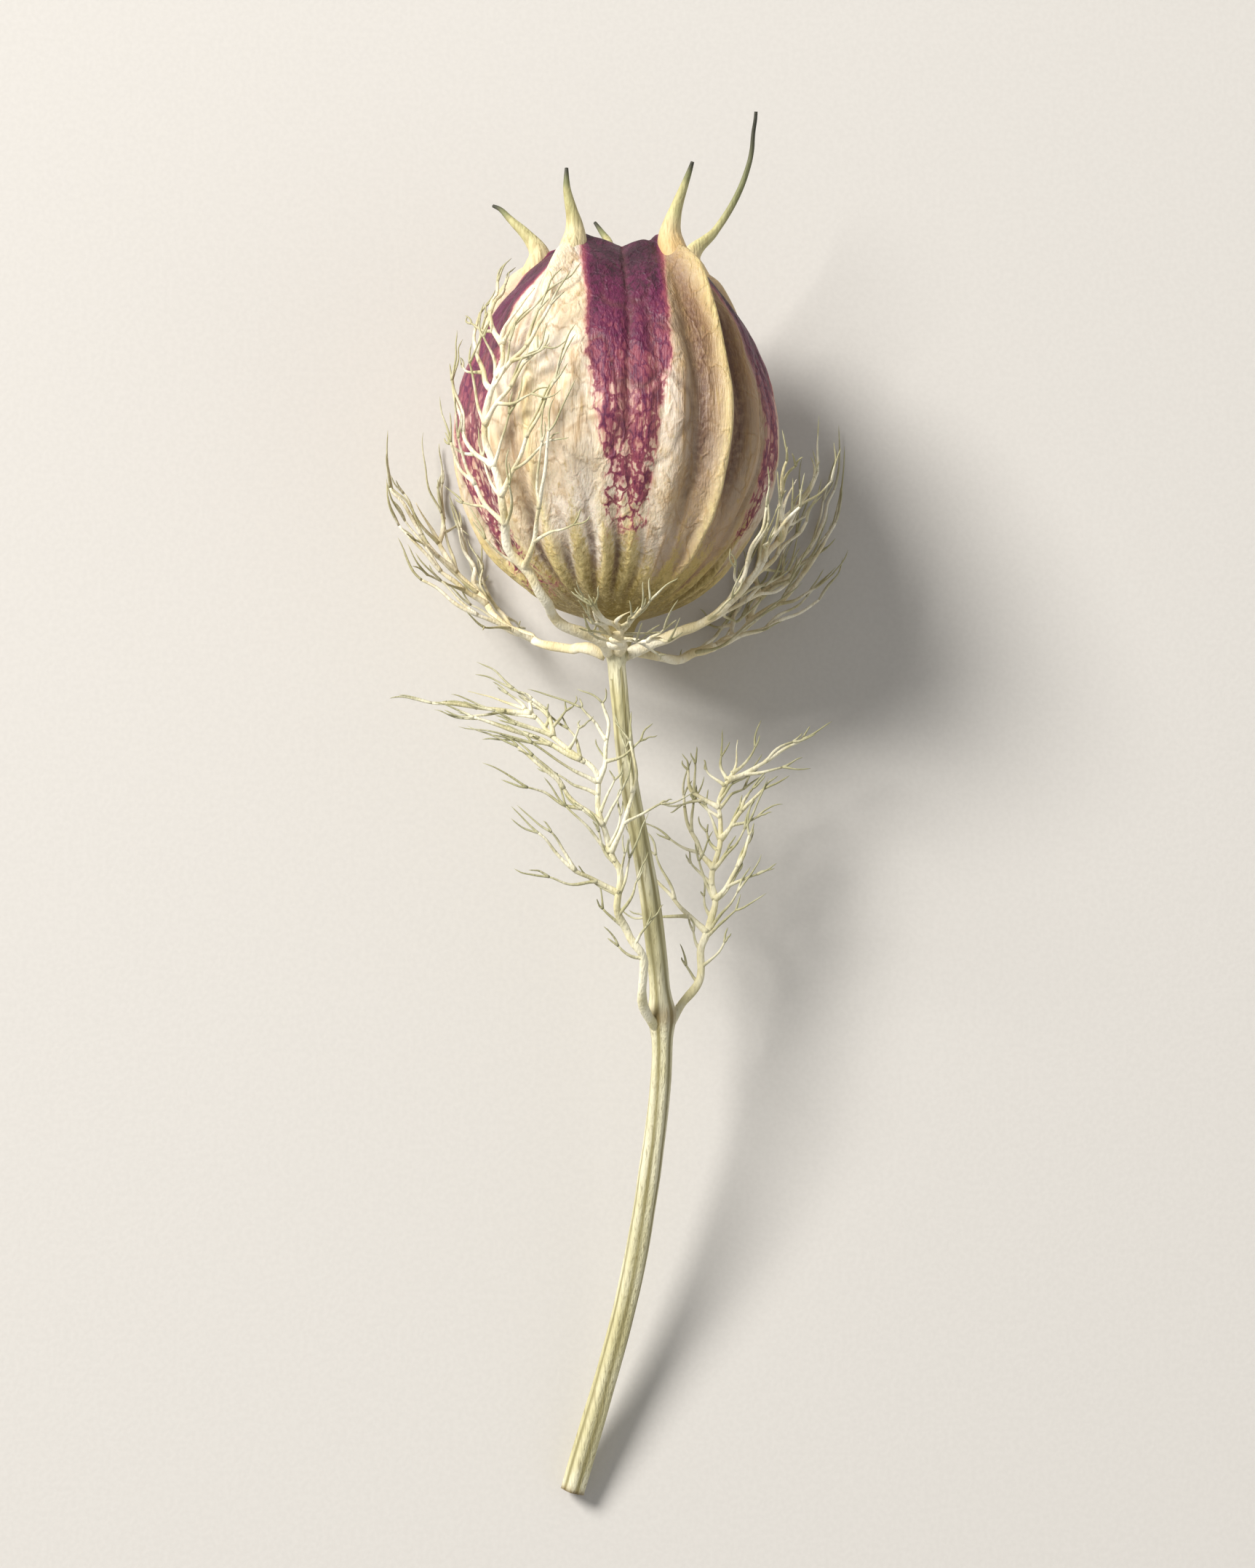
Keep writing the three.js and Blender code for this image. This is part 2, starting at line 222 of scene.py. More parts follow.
# How a frond is cut
MIDRIB_STEPS = 8
MIDRIB_LIFT = 0.4
ZIGZAG = 0.35
FIRST_LOBE = 0.3
LOBED_SHARE = 0.62
LOBE_STAGGER = 0.6
LOWEST_LOBE = 1.15
LOBE_SHORTENING = 0.6
LOBE_LENGTH_SPREAD = 0.4
LOBE_STEPS = 4
LOBE_ANGLE = 36
LOBE_ANGLE_SPREAD = 22
LOBE_TURN = 22
FORK_STEPS = 2
FORK_ANGLE = 28
FORK_ANGLE_SPREAD = 20
FORK_TURN = 18
FORK_LENGTH = 0.34
FORK_LENGTH_SPREAD = 0.18
TIP_SHARES = (1.1, 0.6)
TIP_ANGLE = (8, 34)
TIP_TURN = (0, 45)
TIP_LENGTH = (0.6, 1)
TIP_RISE = (-0.3, 0.5)
TIP_STEPS = 4
SPUR_ANGLE = (30, 55)
SPUR_TURN = 25
SPUR_LENGTH = (0.3, 0.6)
SPUR_RISE = (-0.3, 1)
SPUR_STEPS = 3
FIRST_BARB = 0.12
BARBED_SHARE = 0.8
BARB_ANGLE = (35, 60)
BARB_TURN = 20
BARB_LENGTH = (1.6, 3)
BARB_RISE = (-0.3, 0.6)
BARB_TIP_LENGTH = (1.2, 2.2)
BARB_STEPS = 3

# A frond's threads, by rank: their radii at the root and at the end. A midrib's end is a share of its root.
MIDRIB, LOBE, FORK, TIP = range(4)
THREAD_RADII = {LOBE: (0.21, 0.1), FORK: (0.15, 0.07), TIP: (0.1, 0.04)}
THREAD_TAPER_POWER = 0.8
THREAD_ROOM = 0.3
THREAD_SIDES = 7
THREAD_SHAKE = 0.34
THREAD_SHAKE_SIZE = 1.9
THREAD_KNOBS = 0.16
THREAD_KNOB_SIZE = 0.8
THREAD_ROOT_FLARE = 0.3
THREAD_END_TAPER = 0.75
MIDRIB_END = 0.3
MIDRIB_SIDES = 12
MIDRIB_SQUASH = 0.7
RINGS_PER_MM = 4
FEWEST_RINGS = 8
SOFT_EDGE = 1.0

# Stem
STEM_TOP_RADIUS = 0.6
STEM_END_RADIUS = 0.85
STEM_RIBS = 5
STEM_RIB_RISE = 0.07
STEM_SMALL_RIB_RISE = 0.035
STEM_TWIST = 1.2
STEM_KNOBS = 0.03
STEM_KNOB_SIZE = 2.5
STEM_RINGS = 220
STEM_SIDES = 30
NODE_AT = 0.42
NODE_SWELL = 0.3
NODE_LENGTH = 0.02
NODE_SCAR_LENGTH = 0.012
CUT_SCAR_FROM = 0.992
CUT_AT = 75
STEM_ROUTE = [
    (0, -16.2, AXIS_HEIGHT), (0.8, -24, 11.5), (2.6, -34, 10.4), (3.5, -43.5, 8.7), (2.9, -52, 6.5),
    (1.3, -62, 3.8), (-2.2, -CUT_AT, STEM_END_RADIUS * 1.06),
]
# The swollen top of the stem: places along the capsule's axis, and the radius there
FLARE = [
    (-4.2, 0.48), (-3.2, 0.6), (-2.4, 0.8), (-1.6, 1.0),
    (-0.9, 1.15), (-0.4, 1.28), (0, 1.45), (0.3, 1.7),
]
FLARE_LOBES = 0.08
FLARE_OLIVE = (-2.6, -0.4)
FLARE_RINGS = 40

# Colours, as screen values from 0 to 255
CREAM = (249, 238, 221)
BUTTER = (238, 220, 188)
# The carpels' own tan and painted shade at once, strongest on the carpels turned away from the key light
TAN_AND_SHADE = (154, 119, 82)
HONEY = (219, 191, 147)
OCHRE = (184, 148, 96)
SAND = (196, 164, 112)
VEIN_BROWN = (166, 128, 78)
RIB_YELLOW = (234, 216, 152)
OLIVE = (200, 178, 100)
DARK_OLIVE = (128, 108, 44)
PINK = (201, 131, 127)
MAGENTA = (137, 54, 78)
PLUM = (98, 26, 66)
DARK_PLUM = (46, 8, 30)
CROWN_PLUM = (62, 24, 36)
CROWN_BROWN = (112, 74, 52)
# Painted shade for the sutures, furrows, creases and hollows
FOLD_SHADE_BROWN = (100, 68, 52)
HORN_PALE = (232, 216, 172)
HORN_GREEN = (204, 198, 144)
HORN_FIBRE = (166, 150, 98)
HORN_TAN_AND_SHADE = (212, 176, 118)
STYLE_GREEN = (128, 130, 88)
STYLE_DARK = (58, 58, 46)
BRACT_COLOURS = dict(pale=(246, 240, 218), warm=(226, 212, 168), green=(160, 158, 116))
LEAF_COLOURS = dict(pale=(240, 235, 208), warm=(216, 208, 164), green=(148, 148, 108))
THREAD_FIBRE = (150, 128, 86)
STRAW = (228, 223, 190)
GREEN_STRAW = (200, 193, 146)
STEM_FURROW = (144, 136, 92)
STEM_FIBRE = (132, 118, 74)
SCAR_BROWN = (132, 106, 58)
STEM_OLIVE = (142, 122, 58)
FLOOR_LIGHT = (211, 208, 203)
FLOOR_DARK = (208, 205, 200)

# The photograph's view, which fills the frame's height with the pod
LENS = 100
SENSOR = 36
TILT_TO_STEM = 8
TILT_TO_LEFT = 5
FRAME_FILL = 0.9

# Light and floor, with the lights' places and sizes in metres
KEY = dict(location=(-0.67, 0.42, 0.67), size=0.42, energy=16.1, colour=(1.0, 0.97, 0.93))
FILL = dict(location=(0.5, -0.2, 0.35), size=0.6, energy=0.6, colour=(1.0, 0.98, 0.95))
SKY = (1.0, 0.995, 0.98, 1)
SKY_STRENGTH = 0.3
FLOOR_REACH = 1500
FLOOR_HEIGHT = -0.05


# Small sums

def smoothstep(low, high, value):
    """0 up to low, 1 from high on, and smooth between them."""
    t = np.clip((value - low) / (high - low), 0, 1)
    return t * t * (3 - 2 * t)


def bell(value, width):
    """1 at 0, and less on both sides, over the given width."""
    return np.exp(-((value / width) ** 2))


LATTICE = np.random.default_rng(LATTICE_SEED).uniform(-1, 1, (LATTICE_SIZE, LATTICE_SIZE, LATTICE_SIZE))


def rough(points, size):
    """Smooth random values from -1 to 1 at the points, varying over the given size along each axis."""
    place = np.asarray(points, float) / size + LATTICE_MIDDLE
    cell = np.floor(place).astype(int)
    share = place - cell
    share = share * share * (3 - 2 * share)
    total = np.zeros(len(place))
    for corner in itertools.product((0, 1), repeat=3):
        weight = np.prod(np.where(corner, share, 1 - share), axis=1)
        i, j, k = ((cell + corner) % LATTICE_SIZE).T
        total += weight * LATTICE[i, j, k]
    return total


def random_from(seed):
    """Repeatable random numbers from 0 to 1."""
    state = seed
    while True:
        state = state * RANDOM_FACTOR % RANDOM_PRIME
        yield state / RANDOM_PRIME


# The capsule's own places

def on_axis(azimuth, radius, along):
    """The point at a place round and along the capsule's axis. Azimuth 90 is straight up, 0 is +X."""
    turn = np.radians(azimuth)
    x = radius * np.cos(turn)
    z = AXIS_HEIGHT + radius * np.sin(turn)
    return np.stack(np.broadcast_arrays(x, along - WIDEST_AT, z), -1)


def body_radius(along):
    """The capsule's radius, without its grooves and midribs."""
    along = np.asarray(along, float)
    upper = along > WIDEST_AT
    share = np.where(upper, (along - WIDEST_AT) / UPPER_REACH, 1 - along / WIDEST_AT)
    fullness = np.where(upper, UPPER_FULLNESS, LOWER_FULLNESS)
    return CAPSULE_RADIUS * np.maximum(0, 1 - np.abs(share) ** SWELL_POWER) ** fullness


def from_midrib(azimuth):
    """Degrees from the nearest midrib. One midrib points straight down."""
    offset = (azimuth + 90) % (2 * HALF_SECTOR)
    return np.where(offset > HALF_SECTOR, offset - 2 * HALF_SECTOR, offset)


def turned(azimuth, centre):
    """Degrees from centre to azimuth, from -180 to 180."""
    return (azimuth - centre + 180) % 360 - 180


# Lines

def smooth_line(points, per_span):
    """Points on the centripetal Catmull-Rom curve through the given ones."""
    p = np.asarray(points, float)
    p = np.vstack([2 * p[0] - p[1], p, 2 * p[-1] - p[-2]])
    knots = np.concatenate([[0], np.cumsum(np.linalg.norm(np.diff(p, axis=0), axis=1) ** 0.5)])
    spans = []
    for i in range(1, len(p) - 2):
        t0, t1, t2, t3 = knots[i - 1:i + 3]
        t = np.linspace(t1, t2, per_span, endpoint=False)[:, None]
        a1 = ((t1 - t) * p[i - 1] + (t - t0) * p[i]) / (t1 - t0)
        a2 = ((t2 - t) * p[i] + (t - t1) * p[i + 1]) / (t2 - t1)
        a3 = ((t3 - t) * p[i + 1] + (t - t2) * p[i + 2]) / (t3 - t2)
        b1 = ((t2 - t) * a1 + (t - t0) * a2) / (t2 - t0)
        b2 = ((t3 - t) * a2 + (t - t1) * a3) / (t3 - t1)
        spans.append(((t2 - t) * b1 + (t - t1) * b2) / (t2 - t1))
    return np.vstack(spans + [p[-2:-1]])


def evenly(line, count):
    """The line's points again, at equal distances along it."""
    at = np.concatenate([[0], np.cumsum(np.linalg.norm(np.diff(line, axis=0), axis=1))])
    where = np.linspace(0, at[-1], count)
    return np.column_stack([np.interp(where, at, line[:, k]) for k in range(line.shape[1])])


def directions(line):
    """The unit tangent at each of the line's points."""
    tangents = np.gradient(line, axis=0)
    return tangents / np.linalg.norm(tangents, axis=1)[:, None]


# Meshes

def plain_round(share, turns):
    """The section of a plain round tube."""
    return np.ones(len(turns))


class Surface:
    """Gathers grids and tubes into one mesh, with one value at each point for each named attribute."""

    def __init__(self, *attributes):
        self.points = []
        self.faces = []
        self.values = {name: [] for name in attributes}
        self.count = 0

    def add(self, points, faces, **values):
        self.points.append(points)
        self.faces += [[index + self.count for index in face] for face in faces]
        for name, gathered in self.values.items():
            gathered.append(np.broadcast_to(values.get(name, 0.0), (len(points),)))
        self.count += len(points)

    def tube(self, line, radii, sides, squash=1.0, section=plain_round, **values):
        """A closed tube along the line. squash flattens it, section(share, turns) shapes it.

        A value is one number, or one for each ring, or one for each point of each ring.
        """
        steps = len(line)
        tangents = directions(line)
        side = np.cross(tangents[0], (0, 0, 1.0) if abs(tangents[0][2]) < 0.9 else (1.0, 0, 0))
        turns = np.arange(sides) * 2 * math.pi / sides
        rings = []
        for i in range(steps):
            side = side - tangents[i] * side.dot(tangents[i])
            side /= np.linalg.norm(side)
            other = np.cross(tangents[i], side)
            radius = radii[i] * section(i / (steps - 1), turns)
            across = np.outer(np.cos(turns) * radius, side)
            upwards = np.outer(np.sin(turns) * radius * squash, other)
            rings.append(line[i] + (across + upwards))
        start, end = steps * sides, steps * sides + 1
        last = (steps - 1) * sides
        pairs = [(j, (j + 1) % sides) for j in range(sides)]
        starts = range(0, last, sides)
        faces = [[a + j, a + k, a + sides + k, a + sides + j] for a in starts for j, k in pairs]
        for j, k in pairs:
            faces += [[start, k, j], [end, last + j, last + k]]
        spread = {}
        for name, value in values.items():
            value = np.asarray(value, float)
            if value.ndim < 2:
                value = np.broadcast_to(value.reshape(-1, 1), (steps, sides))
            spread[name] = np.concatenate([value.ravel(), value[[0, -1], 0]])
        self.add(np.vstack(rings + [line[:1], line[-1:]]), faces, **spread)

    def made(self, name, material):
        mesh = bpy.data.meshes.new(name)
        points = np.vstack(self.points)
        mesh.from_pydata((points * MM).tolist(), [], self.faces)
        for attribute, gathered in self.values.items():
            layer = mesh.attributes.new(attribute, "FLOAT", "POINT")
            layer.data.foreach_set("value", np.concatenate(gathered).astype(np.float32))
        mesh.polygons.foreach_set("use_smooth", [True] * len(mesh.polygons))
        mesh.materials.append(material)
        mesh.update()
        piece = bpy.data.objects.new(name, mesh)
        bpy.context.scene.collection.objects.link(piece)
        return piece


def clean(piece):
    """Takes out the points that no face uses, and turns every face outwards."""
    mesh = bmesh.new()
    mesh.from_mesh(piece.data)
    loose = [vertex for vertex in mesh.verts if not vertex.link_faces]
    bmesh.ops.delete(mesh, geom=loose, context="VERTS")
    bmesh.ops.recalc_face_normals(mesh, faces=mesh.faces)
    mesh.to_mesh(piece.data)
    mesh.free()


def placed(piece, node):
    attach(piece, "root")
    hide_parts(node)


# Materials

def linear(red, green, blue):
    """A colour given as screen values from 0 to 255, as the shader wants it."""
    values = [c / 255 for c in (red, green, blue)]
    return [v / 12.92 if v <= 0.04045 else ((v + 0.055) / 1.055) ** 2.4 for v in values] + [1.0]


class Shader:
    """A small helper that builds one material's nodes."""

    def __init__(self, name, roughness):
        self.material = bpy.data.materials.new(name)
        self.material.use_nodes = True
        self.nodes = self.material.node_tree.nodes
        self.links = self.material.node_tree.links
        self.shader = self.nodes["Principled BSDF"]
        self.shader.inputs["Roughness"].default_value = roughness
        self.place = self.nodes.new("ShaderNodeTexCoord").outputs["Object"]

    def node(self, kind, inputs, **settings):
        made = self.nodes.new(kind)
        for key, value in settings.items():
            setattr(made, key, value)
        for key, value in inputs.items():
            if isinstance(value, bpy.types.NodeSocket):
                self.links.new(value, made.inputs[key])
            else:
                made.inputs[key].default_value = value
        return made

    def attribute(self, name):
        return self.node("ShaderNodeAttribute", {}, attribute_name=name).outputs["Fac"]

    def spread(self, size, stretch):
        """The object's coordinates in steps of size millimetres, longer along an axis by its stretch."""
        scale = [1 / (size * s * MM) for s in stretch]
        return self.node("ShaderNodeMapping", {"Vector": self.place, "Scale": scale}).outputs[0]

    def noise(self, size, detail, stretch=(1, 1, 1)):
        """Noise whose patches measure size millimetres, longer along an axis by its stretch."""
        inputs = {"Vector": self.spread(size, stretch), "Scale": 1.0, "Detail": detail}
        return self.node("ShaderNodeTexNoise", inputs).outputs["Fac"]

    def net(self, size, width, stretch):
        """A net of lines round irregular cells of size millimetres. It is 1 on the lines."""
        spread = self.spread(size, stretch)
        sway = self.node("ShaderNodeTexNoise", {"Vector": spread, "Scale": 1.6, "Detail": 3.0})
        pushed = self.node("ShaderNodeVectorMath", {0: sway.outputs["Color"], 1: spread}, operation="ADD")
        inputs = {"Vector": pushed.outputs[0], "Scale": 1.0}
        cells = self.node("ShaderNodeTexVoronoi", inputs, feature="DISTANCE_TO_EDGE")
        return self.ranged(cells.outputs["Distance"], 0, width, 1, 0)

    def maths(self, operation, first, second):
        return self.node("ShaderNodeMath", {0: first, 1: second}, operation=operation).outputs[0]

    def plus(self, first, second):
        return self.maths("ADD", first, second)

    def minus(self, first, second):
        return self.maths("SUBTRACT", first, second)

    def times(self, first, second):
        return self.maths("MULTIPLY", first, second)

    def ranged(self, value, low, high, to_low=0.0, to_high=1.0):
        """The value taken smoothly from the range low to high to another one."""
        inputs = {0: value, 1: low, 2: high, 3: to_low, 4: to_high}
        return self.node("ShaderNodeMapRange", inputs, interpolation_type="SMOOTHSTEP").outputs[0]

    def mixed(self, share, first, second):
        """Two colours mixed. Each is another node's output, or screen values."""
        first, second = (linear(*c) if isinstance(c, tuple) else c for c in (first, second))
        return self.node("ShaderNodeMix", {0: share, 6: first, 7: second}, data_type="RGBA").outputs[2]

    def soft(self, weight, depth):
        """Lets light soak into a thin dry skin, depth millimetres deep."""
        self.shader.inputs["Subsurface Weight"].default_value = weight
        self.shader.inputs["Subsurface Radius"].default_value = (1.0, 0.55, 0.3)
        self.shader.inputs["Subsurface Scale"].default_value = depth * MM

    def finished(self, colour, height, depth):
        """The material, with this colour and with a height that stands for depth millimetres of relief."""
        self.links.new(colour, self.shader.inputs["Base Color"])
        bump = self.node("ShaderNodeBump", {"Height": height, "Strength": 1.0, "Distance": depth * MM})
        self.links.new(bump.outputs[0], self.shader.inputs["Normal"])
        return self.material


def pod_skin():
    """Papery skin: cream and tan, with purple stripes in the grooves, yellowish ribs and an olive base. The
    tan is partly painted shade; the folds get painted shade and the pleat crests a painted highlight.
    """
    s = Shader("pod_skin", 0.5)
    s.soft(0.1, 1.0)
    cloud = s.noise(5.0, 3)
    blotch = s.noise(1.5, 4, (1, 1.6, 1))
    speck = s.noise(0.42, 4)
    streak = s.noise(0.32, 4, (1, 7, 1))
    fibre = s.noise(0.14, 4, (1, 12, 1))
    wide_net = s.net(2.1, 0.09, (1, 1.7, 1))
    fine_net = s.net(0.75, 0.2, (1, 1.6, 1))

    # Cream and tan, the tan partly painted shade, with veins
    skin = s.mixed(s.ranged(cloud, 0.35, 0.65), CREAM, BUTTER)
    skin = s.mixed(s.attribute("tan"), skin, TAN_AND_SHADE)
    skin = s.mixed(s.ranged(blotch, 0.5, 0.78, 0, 0.6), skin, HONEY)
    skin = s.mixed(s.ranged(streak, 0.52, 0.8, 0, 0.65), skin, OCHRE)
    skin = s.mixed(s.ranged(fibre, 0.5, 0.78, 0, 0.3), skin, SAND)
    veined = s.times(wide_net, s.ranged(blotch, 0.35, 0.65, 0.1, 0.5))
    vein = s.times(s.attribute("vein"), s.ranged(blotch, 0.3, 0.6, 0.35, 0.8))
    skin = s.mixed(s.maths("MAXIMUM", vein, veined), skin, VEIN_BROWN)

    # Olive base and yellow midribs, with a painted highlight on the pleat crests at the base
    grain = s.minus(s.plus(streak, fibre), 1.0)
    base = s.plus(s.attribute("base"), s.times(grain, 0.8))
    skin = s.mixed(s.ranged(base, 0.05, 0.6, 0, 0.75), skin, OLIVE)
    skin = s.mixed(s.ranged(base, 0.5, 1.1, 0, 0.95), skin, DARK_OLIVE)
    rib = s.times(s.attribute("rib"), s.ranged(streak, 0.3, 0.6, 0.85, 0.5))
    skin = s.mixed(rib, skin, RIB_YELLOW)

    # Purple stripes, torn into a net at their lower ends
    torn = s.times(s.minus(streak, 0.5), 1.5)
    torn = s.plus(torn, s.times(s.minus(blotch, 0.5), 1.3))
    torn = s.plus(torn, s.times(s.minus(fine_net, 0.4), 0.55))
    level = s.plus(s.attribute("stripe"), s.times(torn, s.attribute("torn")))
    skin = s.mixed(s.ranged(level, 0.04, 0.34, 0, 0.7), skin, PINK)
    skin = s.mixed(s.ranged(level, 0.24, 0.48, 0, 0.92), skin, MAGENTA)
    skin = s.mixed(s.ranged(level, 0.5, 0.85), skin, PLUM)
    skin = s.mixed(s.ranged(level, 0.85, 1.15), skin, DARK_PLUM)

    # Crown, and painted shade in the sutures, furrows, creases and hollows
    crown = s.mixed(s.ranged(blotch, 0.35, 0.65), CROWN_PLUM, CROWN_BROWN)
    skin = s.mixed(s.attribute("crown"), skin, crown)
    painted_shade = s.times(s.attribute("fold"), s.ranged(speck, 0.3, 0.6, 0.55, 0.9))
    skin = s.mixed(painted_shade, skin, FOLD_SHADE_BROWN)

    height = s.plus(s.times(fibre, 0.5), s.times(streak, 0.6))
    height = s.plus(height, s.times(speck, 0.3))
    height = s.plus(height, s.times(wide_net, 0.25))
    s.links.new(s.ranged(blotch, 0.3, 0.7, 0.42, 0.6), s.shader.inputs["Roughness"])
    return s.finished(skin, height, 0.16)


def horn_skin():
    """Pale yellow-green beaks, with the carpel's tan (partly painted shade) at their roots, that dry to dark
    grey-green threads.
    """
    s = Shader("horn_skin", 0.6)
    fibre = s.noise(0.2, 3, (1, 8, 1))
    tip = s.attribute("tip")
    colour = s.mixed(s.ranged(tip, 0.0, 0.25), HORN_PALE, HORN_GREEN)
    colour = s.mixed(s.ranged(fibre, 0.4, 0.75, 0, 0.7), colour, HORN_FIBRE)
    colour = s.mixed(s.attribute("tan"), colour, HORN_TAN_AND_SHADE)
    colour = s.mixed(s.ranged(tip, 0.25, 0.6), colour, STYLE_GREEN)
    colour = s.mixed(s.ranged(tip, 0.55, 0.95), colour, STYLE_DARK)
    return s.finished(colour, fibre, 0.1)


def thread_skin(name, pale, warm, green):
    """Dry cream threads, greener where they are thin."""
    s = Shader(name, 0.65)
    patch = s.noise(2.2, 3)
    fibre = s.noise(0.14, 3, (1, 3, 1))
    colour = s.mixed(s.ranged(patch, 0.35, 0.65), pale, warm)
    thin = s.plus(s.attribute("thin"), s.minus(patch, 0.5))
    colour = s.mixed(s.ranged(thin, 0.45, 1.0, 0, 0.8), colour, green)
    colour = s.mixed(s.ranged(fibre, 0.5, 0.8, 0, 0.4), colour, THREAD_FIBRE)
    return s.finished(colour, fibre, 0.08)


def stem_skin():
    """Straw with fine ribs, darker in the furrows, brown at the node and olive under the capsule."""
    s = Shader("stem_skin", 0.55)
    patch = s.noise(6.0, 3)
    fibre = s.noise(0.12, 4, (1, 14, 1))
    colour = s.mixed(s.ranged(patch, 0.35, 0.65), STRAW, GREEN_STRAW)
    colour = s.mixed(s.attribute("furrow"), colour, STEM_FURROW)
    colour = s.mixed(s.ranged(fibre, 0.5, 0.75, 0, 0.6), colour, STEM_FIBRE)
    colour = s.mixed(s.times(s.attribute("scar"), 0.75), colour, SCAR_BROWN)
    colour = s.mixed(s.times(s.attribute("olive"), 0.9), colour, STEM_OLIVE)
    return s.finished(colour, fibre, 0.1)


def floor_material():
    s = Shader("floor", 0.7)
    grain = s.noise(0.35, 3)
    return s.finished(s.mixed(s.ranged(grain, 0.3, 0.7), FLOOR_LIGHT, FLOOR_DARK), grain, 0.01)


# Capsule

def capsule_profile():
    """The outline from the crown's centre over the rim to the base, as [radius, along] points."""
    share = np.linspace(0, 1, CROWN_POINTS)
    bowl = CAPSULE_LENGTH - CROWN_DEPTH * (1 - share**2)
    crown = np.column_stack([body_radius(CAPSULE_LENGTH) * share, bowl])
    along = CAPSULE_LENGTH * (0.5 + 0.5 * np.cos(np.pi * np.linspace(0, 1, BODY_POINTS)))
    body = np.column_stack([body_radius(along), along])
    line = evenly(np.vstack([crown, body[1:]]), PROFILE_POINTS)

    reach = RIM_SOFTENING_POINTS
    step = np.linalg.norm(line[1] - line[0])
    weights = bell(np.arange(-reach, reach + 1) * step, RIM_SOFTNESS)
    weights /= weights.sum()
    padded = np.vstack([line[reach:0:-1] * (-1, 1), line, line[-2:-reach - 2:-1] * (-1, 1)])
    soft = np.column_stack([np.convolve(padded[:, k], weights, "valid") for k in (0, 1)])
    return evenly(soft, CAPSULE_ROWS)


def capsule_points():
    """Every point of the plain capsule: its place, the way out of the skin, and its place in its carpel."""
    profile = capsule_profile()
    slope = directions(profile)
    azimuths = np.arange(CAPSULE_AROUND) * 360 / CAPSULE_AROUND
    row, azimuth = (g.ravel() for g in np.meshgrid(np.arange(CAPSULE_ROWS), azimuths, indexing="ij"))
    radius, along = profile[row].T
    plain = on_axis(azimuth, radius, along)
    offset = from_midrib(azimuth)
    in_crown = smoothstep(0, CROWN_BLEND_ROWS, np.argmax(profile[:, 1]) - row)
    return SimpleNamespace(
        azimuth=azimuth,
        radius=radius,
        along=along,
        plain=plain,
        out_radius=-slope[row, 1],
        out_along=slope[row, 0],
        offset=offset,
        off=np.abs(offset),
        in_crown=in_crown,
        top=smoothstep(*SHOULDER, along) * (1 - in_crown),
        body=smoothstep(*BODY, along) * (1 - in_crown),
        warp=rough(plain, 4.0),
    )


def capsule_faces():
    """Quads between the rows, closed by triangles at the crown's centre and at the base."""
    faces = []
    last = (CAPSULE_ROWS - 1) * CAPSULE_AROUND
    for a in range(0, last, CAPSULE_AROUND):
        b = a + CAPSULE_AROUND
        for j in range(CAPSULE_AROUND):
            k = (j + 1) % CAPSULE_AROUND
            if a == 0:
                faces.append([0, b + k, b + j])
            elif b == last:
                faces.append([a + j, a + k, last])
            else:
                faces.append([a + j, a + k, b + k, b + j])
    return faces


def carpel_traits(at):
    """For every point, its own carpel's traits from the list of midribs."""
    traits = np.zeros((4, len(at.azimuth)))
    for centre, *own in MIDRIBS:
        mine = np.abs(turned(at.azimuth, centre)) <= HALF_SECTOR
        traits[:, mine] = np.array(own)[:, None]
    return traits


def midribs(at, height, left, right):
    """The midribs, the ridges that lead up into the horns and the hollows beside them.

    Gives the relief, the midrib's share for its colour, and the painted shade in the hollows.
    """
    bent = at.offset + MIDRIB_SWAY * rough(at.plain, (30, 6, 30))
    rib = bell(bent, MIDRIB_WIDTH + MIDRIB_TOP_WIDENING * at.top) * at.body
    rib = rib * (1 - MIDRIB_TOP_FADE * smoothstep(23, 26.8, at.along))
    rise = height * rib + SHOULDER_RISE * bell(at.off, SHOULDER_RISE_WIDTH) * at.top
    ridge = smoothstep(HORN_RIDGE_FOOT, HORN_RIDGE_TOP, at.along) * (1 - at.in_crown)
    ridge = ridge * (1 - smoothstep(HORN_RIDGE_TOP, HORN_RIDGE_END, at.along))
    rise += HORN_RIDGE_RISE * bell(np.radians(at.off) * at.radius, HORN_RIDGE_WIDTH_MM) * ridge
    flank = at.body * smoothstep(3, 9, at.along) * (1 - 0.6 * at.top)
    rise -= (left * bell(bent - HOLLOW_AT, 4.5) + right * bell(bent + HOLLOW_AT, 5.0)) * flank
    shade = (left * bell(bent - 8, 3.0) + right * bell(bent + 8.5, 4.0)) * flank
    return rise, rib, shade


def veins(at):
    """Long side veins beside each midrib, and short arches between them."""
    found = np.zeros(len(at.along))
    for number, angle in enumerate(SIDE_VEINS):
        wander = VEIN_WANDER * rough(at.plain + 70 * (number + 1), (9.0, 4.0, 9.0))
        line = bell(at.off - angle - wander, VEIN_WIDTH)
        line *= smoothstep(0.5, 3, at.along) * (1 - smoothstep(24, 27, at.along))
        found = np.maximum(found, line * np.clip(0.6 + 0.9 * rough(at.plain - 30, (3, 4, 3)), 0, 1))
    arch = np.sin(2 * math.pi * (at.along / ARCH_SPACING - at.off / ARCH_SLANT + 0.7 * at.warp))
    arches = bell(arch - 1, 0.08) * smoothstep(4, 8, at.along) * (1 - smoothstep(20, 25, at.along))
    arches *= smoothstep(0.05, 0.5, rough(at.plain + 60, 3.0)) * smoothstep(3, 8, at.off)
    return np.maximum(found, 0.6 * arches)


def pleats(at, around):
    """The folds that gather the skin at the base: their wave, and how strong it is."""
    wave = np.sin(np.radians(at.azimuth * PLEATS) + 4.5 * rough(at.plain, (5, 12, 5)))
    strength = 1 - smoothstep(2, PLEAT_TOP + PLEAT_TOP_SPREAD * rough(around + 50, 2.0), at.along)
    strength *= smoothstep(0.3, 2.5, at.along) * np.clip(0.7 + rough(at.plain + 15, (3.5, 7, 3.5)), 0, 1.2)
    return wave, strength


